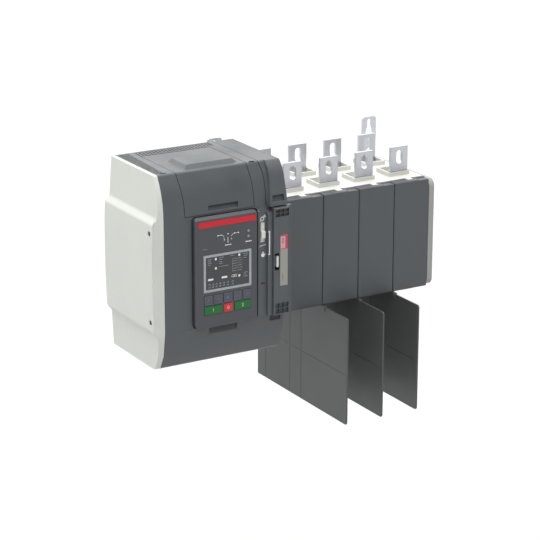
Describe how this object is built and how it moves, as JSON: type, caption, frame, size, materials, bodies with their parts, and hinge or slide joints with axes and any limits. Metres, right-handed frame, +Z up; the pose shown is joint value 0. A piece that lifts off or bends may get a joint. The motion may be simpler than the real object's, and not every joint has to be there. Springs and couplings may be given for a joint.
{
  "type": "automatic transfer switch",
  "caption": "Motor-driven transfer switch: stacked switch poles with source terminals above and load terminals below, a control panel box at the side and phase barriers underneath.",
  "frame": {"origin": "centre of the four wall slots, on the wall plane at the backs of the pole housings", "axes": "+X runs along the poles away from the mechanism box, +Y points back into the wall, +Z is up"},
  "size_m": [0.5733, 0.317, 0.4527],
  "materials": {
    "pale_housing": "fine moulded texture",
    "dark_cover": "fine spark-eroded texture",
    "plated_copper": "tin-plated copper, satin",
    "end_plate": "fine moulded texture",
    "zinc_steel": "zinc plated",
    "barrier": "satin sheet",
    "side_panel": "fine moulded texture",
    "black_plastic": "satin",
    "label": "printed film",
    "circuit_board": "solder mask",
    "green_terminal": "moulded",
    "motor_steel": "plated",
    "black_steel": "black-finished screws",
    "brass_gear": "machined",
    "machined_steel": "machined",
    "rotor_moulding": "glass-filled moulding",
    "silver_contact": "silver plated",
    "panel_face": "satin film",
    "screen_glass": "clear window over a display",
    "red_band": "satin",
    "soft_key": "silicone",
    "green_key": "satin",
    "red_key": "satin",
    "white_plastic": "satin"
  },
  "bodies": {
    "frame": {"pole_housing_1": "pale_housing", "pole_housing_2": "pale_housing", "pole_housing_3": "pale_housing", "pole_housing_4": "pale_housing", "pole_cover_1": "dark_cover", "pole_cover_2": "dark_cover", "pole_cover_3": "dark_cover", "pole_cover_4": "dark_cover", "front_terminal_1": "plated_copper", "front_terminal_2": "plated_copper", "front_terminal_3": "plated_copper", "front_terminal_4": "plated_copper", "rear_terminal_1": "plated_copper", "rear_terminal_2": "plated_copper", "rear_terminal_3": "plated_copper", "rear_terminal_4": "plated_copper", "load_terminals": "plated_copper", "end_plate_left": "end_plate", "end_plate_right": "end_plate", "mounting_feet": "zinc_steel", "phase_barrier_1": "barrier", "phase_barrier_2": "barrier", "phase_barrier_3": "barrier", "tie_rods": "zinc_steel", "arc_chutes": "zinc_steel", "gear_case": "dark_cover", "chassis": "zinc_steel", "side_cover": "side_panel", "cover_screws": "black_steel", "front_cover": "dark_cover", "vent_grille": "dark_cover", "right_cap": "dark_cover", "selector_bezel": "dark_cover", "indicator_module": "dark_cover", "label_strip": "label", "control_board": "circuit_board", "control_terminals": "green_terminal", "motor": "motor_steel"},
    "wiring_cover": {"wiring_cover": "dark_cover"},
    "control_panel": {"hmi_case": "panel_face", "hmi_window": "screen_glass", "hmi_band": "red_band", "hmi_board": "circuit_board"},
    "soft_key_1": {"soft_key_1": "soft_key"},
    "soft_key_2": {"soft_key_2": "soft_key"},
    "soft_key_3": {"soft_key_3": "soft_key"},
    "soft_key_4": {"soft_key_4": "soft_key"},
    "soft_key_5": {"soft_key_5": "soft_key"},
    "key_source_1": {"key_source_1": "green_key"},
    "key_off": {"key_off": "red_key"},
    "key_source_2": {"key_source_2": "green_key"},
    "selector_slider": {"selector_slider": "white_plastic"},
    "locking_clip": {"locking_clip": "black_plastic"},
    "position_pointer": {"position_pointer": "white_plastic"},
    "drive_shaft": {"drive_shaft": "machined_steel"},
    "motor_pinion": {"motor_pinion": "brass_gear"},
    "front_rotor": {"front_rotor": "rotor_moulding", "front_contacts": "silver_contact"},
    "rear_rotor": {"rear_rotor": "rotor_moulding", "rear_contacts": "silver_contact"}
  },
  "joints": [
    {"name": "wiring_cover_hinge", "type": "hinge", "parent": "frame", "child": "wiring_cover", "pos_m": [-0.314, -0.184, 0.1815], "axis": [-1, 0, 0], "range_deg": [0, 80]},
    {"name": "control_panel_pull", "type": "slide", "parent": "frame", "child": "control_panel", "axis": [0, -1, 0], "range_m": [0, 0.03]},
    {"name": "soft_key_1_press", "type": "slide", "parent": "control_panel", "child": "soft_key_1", "axis": [0, 1, 0], "range_m": [0, 0.0008], "stiffness_N_per_m": 400},
    {"name": "soft_key_2_press", "type": "slide", "parent": "control_panel", "child": "soft_key_2", "axis": [0, 1, 0], "range_m": [0, 0.0008], "stiffness_N_per_m": 400},
    {"name": "soft_key_3_press", "type": "slide", "parent": "control_panel", "child": "soft_key_3", "axis": [0, 1, 0], "range_m": [0, 0.0008], "stiffness_N_per_m": 400},
    {"name": "soft_key_4_press", "type": "slide", "parent": "control_panel", "child": "soft_key_4", "axis": [0, 1, 0], "range_m": [0, 0.0008], "stiffness_N_per_m": 400},
    {"name": "soft_key_5_press", "type": "slide", "parent": "control_panel", "child": "soft_key_5", "axis": [0, 1, 0], "range_m": [0, 0.0008], "stiffness_N_per_m": 400},
    {"name": "key_source_1_press", "type": "slide", "parent": "control_panel", "child": "key_source_1", "axis": [0, 1, 0], "range_m": [0, 0.0008], "stiffness_N_per_m": 400},
    {"name": "key_off_press", "type": "slide", "parent": "control_panel", "child": "key_off", "axis": [0, 1, 0], "range_m": [0, 0.0008], "stiffness_N_per_m": 400},
    {"name": "key_source_2_press", "type": "slide", "parent": "control_panel", "child": "key_source_2", "axis": [0, 1, 0], "range_m": [0, 0.0008], "stiffness_N_per_m": 400},
    {"name": "selector_slide", "type": "slide", "parent": "frame", "child": "selector_slider", "axis": [0, 0, 1], "range_m": [-0.006, 0.01]},
    {"name": "locking_clip_pull", "type": "slide", "parent": "frame", "child": "locking_clip", "axis": [0, -1, 0], "range_m": [0, 0.012]},
    {"name": "drive_turn", "type": "hinge", "parent": "frame", "child": "drive_shaft", "pos_m": [-0.2, -0.18532, 0.06148], "axis": [1, 0, 0], "range_deg": [-90, 90]},
    {"name": "front_rotor_turn", "type": "hinge", "parent": "frame", "child": "front_rotor", "pos_m": [0, -0.154, 0], "axis": [1, 0, 0], "range_deg": [-45, 45]},
    {"name": "rear_rotor_turn", "type": "hinge", "parent": "frame", "child": "rear_rotor", "pos_m": [0, -0.062, 0], "axis": [1, 0, 0], "range_deg": [-45, 45]},
    {"name": "motor_turn", "type": "hinge", "parent": "frame", "child": "motor_pinion", "pos_m": [-0.25, -0.21982, 0.06148], "axis": [1, 0, 0], "range_deg": [-180, 180]},
    {"name": "pointer_slide", "type": "slide", "parent": "frame", "child": "position_pointer", "axis": [0, 0, 1], "range_m": [-0.004, 0.004]}
  ],
  "couplings": [
    {"joint": "front_rotor_turn", "follows": "drive_turn", "ratio": -0.5},
    {"joint": "rear_rotor_turn", "follows": "drive_turn", "ratio": 0.5},
    {"joint": "motor_turn", "follows": "drive_turn", "ratio": -2},
    {"joint": "pointer_slide", "follows": "drive_turn", "m_per_rad": -0.002546}
  ]
}
